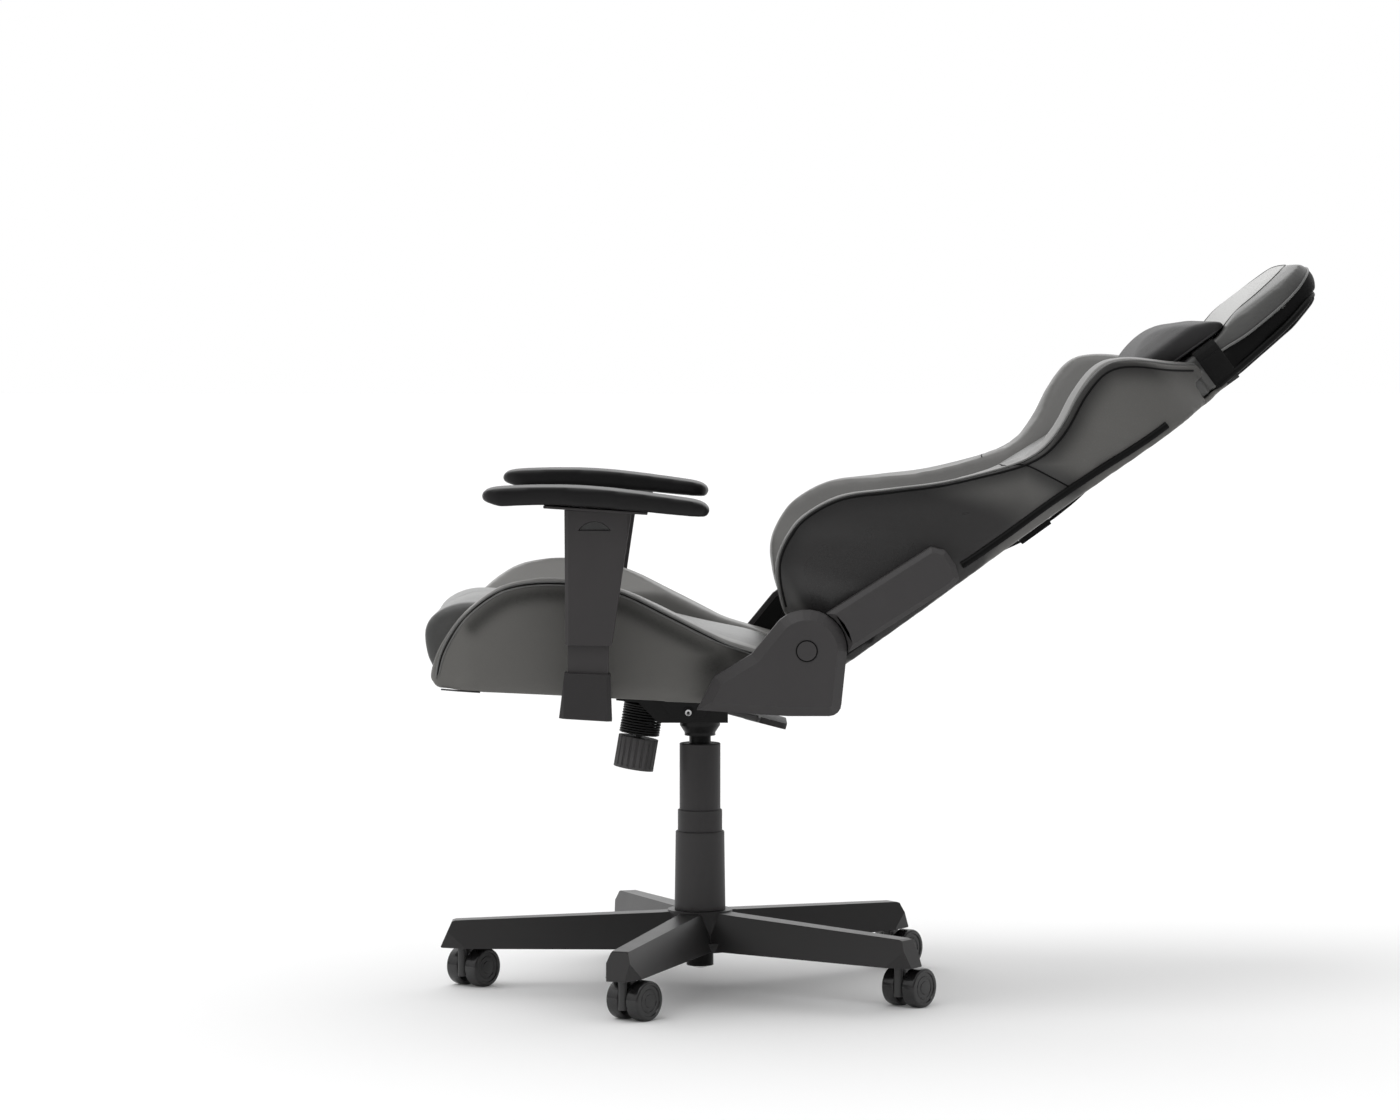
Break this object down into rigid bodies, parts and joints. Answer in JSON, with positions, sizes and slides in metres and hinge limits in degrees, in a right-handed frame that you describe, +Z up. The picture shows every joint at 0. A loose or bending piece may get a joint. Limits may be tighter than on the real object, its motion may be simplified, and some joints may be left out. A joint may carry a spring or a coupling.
{
  "type": "gaming chair",
  "caption": "Racing-style swivel chair with a reclining bolstered back, neck and lumbar pillows, height-adjustable armrests, gas lift, tilt mechanism and five-star caster base.",
  "frame": {"origin": "on the floor, on the axis of the gas lift column", "axes": "+Z up; the chair faces -Y; +X is the sitter's left"},
  "size_m": [0.706, 1.1228, 0.9358],
  "materials": {
    "base_nylon": "satin",
    "caster_fork_nylon": "satin",
    "caster_wheel_nylon": "satin",
    "lift_tube_black": "satin",
    "bush_plastic": "matte",
    "rod_chrome": "polished",
    "cover_plastic": "satin",
    "mechanism_steel": "satin",
    "pivot_zinc": "satin",
    "spring_steel": "satin",
    "knob_plastic": "matte",
    "lever_plastic": "satin",
    "frame_steel": "satin",
    "cover_leather": "satin",
    "pan_leather": "satin",
    "pillow_leather": "satin",
    "webbing": "matte",
    "trim_plastic": "matte",
    "armrest_plastic": "satin",
    "pad_foam": "satin"
  },
  "bodies": {
    "base": {"star_base": "base_nylon", "gas_outer_tube": "lift_tube_black", "guide_bush": "bush_plastic", "cover_lower": "cover_plastic"},
    "caster_1": {"caster_1_fork": "caster_fork_nylon"},
    "caster_1_left": {"caster_1_wheel_left": "caster_wheel_nylon"},
    "caster_1_right": {"caster_1_wheel_right": "caster_wheel_nylon"},
    "caster_2": {"caster_2_fork": "caster_fork_nylon"},
    "caster_2_left": {"caster_2_wheel_left": "caster_wheel_nylon"},
    "caster_2_right": {"caster_2_wheel_right": "caster_wheel_nylon"},
    "caster_3": {"caster_3_fork": "caster_fork_nylon"},
    "caster_3_left": {"caster_3_wheel_left": "caster_wheel_nylon"},
    "caster_3_right": {"caster_3_wheel_right": "caster_wheel_nylon"},
    "caster_4": {"caster_4_fork": "caster_fork_nylon"},
    "caster_4_left": {"caster_4_wheel_left": "caster_wheel_nylon"},
    "caster_4_right": {"caster_4_wheel_right": "caster_wheel_nylon"},
    "caster_5": {"caster_5_fork": "caster_fork_nylon"},
    "caster_5_left": {"caster_5_wheel_left": "caster_wheel_nylon"},
    "caster_5_right": {"caster_5_wheel_right": "caster_wheel_nylon"},
    "lift_rod": {"gas_piston_rod": "rod_chrome"},
    "column": {"gas_pressure_tube": "lift_tube_black", "cover_upper": "cover_plastic", "tilt_housing": "mechanism_steel", "tilt_pivot_pin": "pivot_zinc", "tension_spring": "spring_steel"},
    "cover_stage": {"cover_middle": "cover_plastic"},
    "height_lever": {"height_lever": "lever_plastic"},
    "seat": {"seat_plate": "mechanism_steel", "seat_frame": "frame_steel", "seat_cushion": "pan_leather", "seat_bolster_left": "cover_leather", "seat_bolster_right": "cover_leather", "recliner_left": "frame_steel", "recliner_right": "frame_steel", "hinge_cover_left": "trim_plastic", "hinge_cover_right": "trim_plastic", "mounting_bolts": "pivot_zinc", "armrest_post_left": "frame_steel", "armrest_post_right": "frame_steel", "armrest_boot_left": "armrest_plastic", "armrest_boot_right": "armrest_plastic"},
    "tension_knob": {"tension_knob": "knob_plastic"},
    "recline_lever": {"recline_lever": "lever_plastic"},
    "back": {"back_frame": "frame_steel", "back_cushion": "pan_leather", "back_bolster_left": "cover_leather", "back_bolster_right": "cover_leather", "back_shell": "cover_leather", "back_arm_cover_left": "trim_plastic", "back_arm_cover_right": "trim_plastic", "neck_pillow": "pillow_leather", "neck_strap": "webbing", "lumbar_pillow": "pillow_leather", "lumbar_strap": "webbing"},
    "armrest_left": {"armrest_sleeve_left": "armrest_plastic", "armrest_pad_left": "pad_foam"},
    "armrest_left_button": {"armrest_button_left": "armrest_plastic"},
    "armrest_right": {"armrest_sleeve_right": "armrest_plastic", "armrest_pad_right": "pad_foam"},
    "armrest_right_button": {"armrest_button_right": "armrest_plastic"}
  },
  "joints": [
    {"name": "caster_1_swivel", "type": "hinge", "parent": "base", "child": "caster_1", "pos_m": [0, -0.309, 0.05], "axis": [0, 0, 1], "continuous": true},
    {"name": "caster_1_left_spin", "type": "hinge", "parent": "caster_1", "child": "caster_1_left", "pos_m": [-0.01685, -0.29486, 0.025], "axis": [0.6428, 0.766, 0], "continuous": true},
    {"name": "caster_1_right_spin", "type": "hinge", "parent": "caster_1", "child": "caster_1_right", "pos_m": [-0.01685, -0.29486, 0.025], "axis": [0.6428, 0.766, 0], "continuous": true},
    {"name": "caster_2_swivel", "type": "hinge", "parent": "base", "child": "caster_2", "pos_m": [0.29388, -0.09549, 0.05], "axis": [0, 0, 1], "continuous": true},
    {"name": "caster_2_left_spin", "type": "hinge", "parent": "caster_2", "child": "caster_2_left", "pos_m": [0.27702, -0.08135, 0.025], "axis": [0.6428, 0.766, 0], "continuous": true},
    {"name": "caster_2_right_spin", "type": "hinge", "parent": "caster_2", "child": "caster_2_right", "pos_m": [0.27702, -0.08135, 0.025], "axis": [0.6428, 0.766, 0], "continuous": true},
    {"name": "caster_3_swivel", "type": "hinge", "parent": "base", "child": "caster_3", "pos_m": [0.18163, 0.24999, 0.05], "axis": [0, 0, 1], "continuous": true},
    {"name": "caster_3_left_spin", "type": "hinge", "parent": "caster_3", "child": "caster_3_left", "pos_m": [0.16477, 0.26413, 0.025], "axis": [0.6428, 0.766, 0], "continuous": true},
    {"name": "caster_3_right_spin", "type": "hinge", "parent": "caster_3", "child": "caster_3_right", "pos_m": [0.16477, 0.26413, 0.025], "axis": [0.6428, 0.766, 0], "continuous": true},
    {"name": "caster_4_swivel", "type": "hinge", "parent": "base", "child": "caster_4", "pos_m": [-0.18163, 0.24999, 0.05], "axis": [0, 0, 1], "continuous": true},
    {"name": "caster_4_left_spin", "type": "hinge", "parent": "caster_4", "child": "caster_4_left", "pos_m": [-0.19848, 0.26413, 0.025], "axis": [0.6428, 0.766, 0], "continuous": true},
    {"name": "caster_4_right_spin", "type": "hinge", "parent": "caster_4", "child": "caster_4_right", "pos_m": [-0.19848, 0.26413, 0.025], "axis": [0.6428, 0.766, 0], "continuous": true},
    {"name": "caster_5_swivel", "type": "hinge", "parent": "base", "child": "caster_5", "pos_m": [-0.29388, -0.09549, 0.05], "axis": [0, 0, 1], "continuous": true},
    {"name": "caster_5_left_spin", "type": "hinge", "parent": "caster_5", "child": "caster_5_left", "pos_m": [-0.31073, -0.08135, 0.025], "axis": [0.6428, 0.766, 0], "continuous": true},
    {"name": "caster_5_right_spin", "type": "hinge", "parent": "caster_5", "child": "caster_5_right", "pos_m": [-0.31073, -0.08135, 0.025], "axis": [0.6428, 0.766, 0], "continuous": true},
    {"name": "seat_swivel", "type": "hinge", "parent": "base", "child": "lift_rod", "pos_m": [0, 0, 0.2], "axis": [0, 0, 1], "continuous": true},
    {"name": "seat_height", "type": "slide", "parent": "lift_rod", "child": "column", "axis": [0, 0, 1], "range_m": [-0.085, 0], "stiffness_N_per_m": 500, "springref_m": 0.7},
    {"name": "cover_slide", "type": "slide", "parent": "base", "child": "cover_stage", "axis": [0, 0, 1], "range_m": [-0.0255, 0]},
    {"name": "height_lever_lift", "type": "hinge", "parent": "column", "child": "height_lever", "pos_m": [-0.04, 0.022, 0.356], "axis": [1, 0, 0], "range_deg": [0, 10], "stiffness_Nm_per_rad": 3, "springref_deg": -6.88},
    {"name": "seat_tilt", "type": "hinge", "parent": "column", "child": "seat", "pos_m": [0, -0.015, 0.361], "axis": [-1, 0, 0], "range_deg": [0, 12], "stiffness_Nm_per_rad": 170, "springref_deg": -20.05, "deforming": ["tension_spring"]},
    {"name": "tension_knob_turn", "type": "hinge", "parent": "seat", "child": "tension_knob", "pos_m": [0, -0.0795, 0.3255], "axis": [0, 0.1668, 0.986], "range_deg": [-720, 720]},
    {"name": "recline_lever_lift", "type": "hinge", "parent": "seat", "child": "recline_lever", "pos_m": [-0.29, 0.07, 0.42], "axis": [1, 0, 0], "range_deg": [0, 30], "stiffness_Nm_per_rad": 1, "springref_deg": -17.19},
    {"name": "back_recline", "type": "hinge", "parent": "seat", "child": "back", "pos_m": [0, 0.1315, 0.4585], "axis": [1, 0, 0], "range_deg": [0, 52]},
    {"name": "armrest_left_height", "type": "slide", "parent": "seat", "child": "armrest_left", "axis": [0, 0, 1], "range_m": [-0.032, 0.04]},
    {"name": "armrest_left_button_press", "type": "slide", "parent": "armrest_left", "child": "armrest_left_button", "axis": [-1, 0, 0], "range_m": [0, 0.003], "stiffness_N_per_m": 600, "springref_m": -0.002},
    {"name": "armrest_right_height", "type": "slide", "parent": "seat", "child": "armrest_right", "axis": [0, 0, 1], "range_m": [-0.032, 0.04]},
    {"name": "armrest_right_button_press", "type": "slide", "parent": "armrest_right", "child": "armrest_right_button", "axis": [1, 0, 0], "range_m": [0, 0.003], "stiffness_N_per_m": 600, "springref_m": -0.002}
  ],
  "couplings": [
    {"joint": "cover_slide", "follows": "seat_height", "ratio": 0.3}
  ]
}
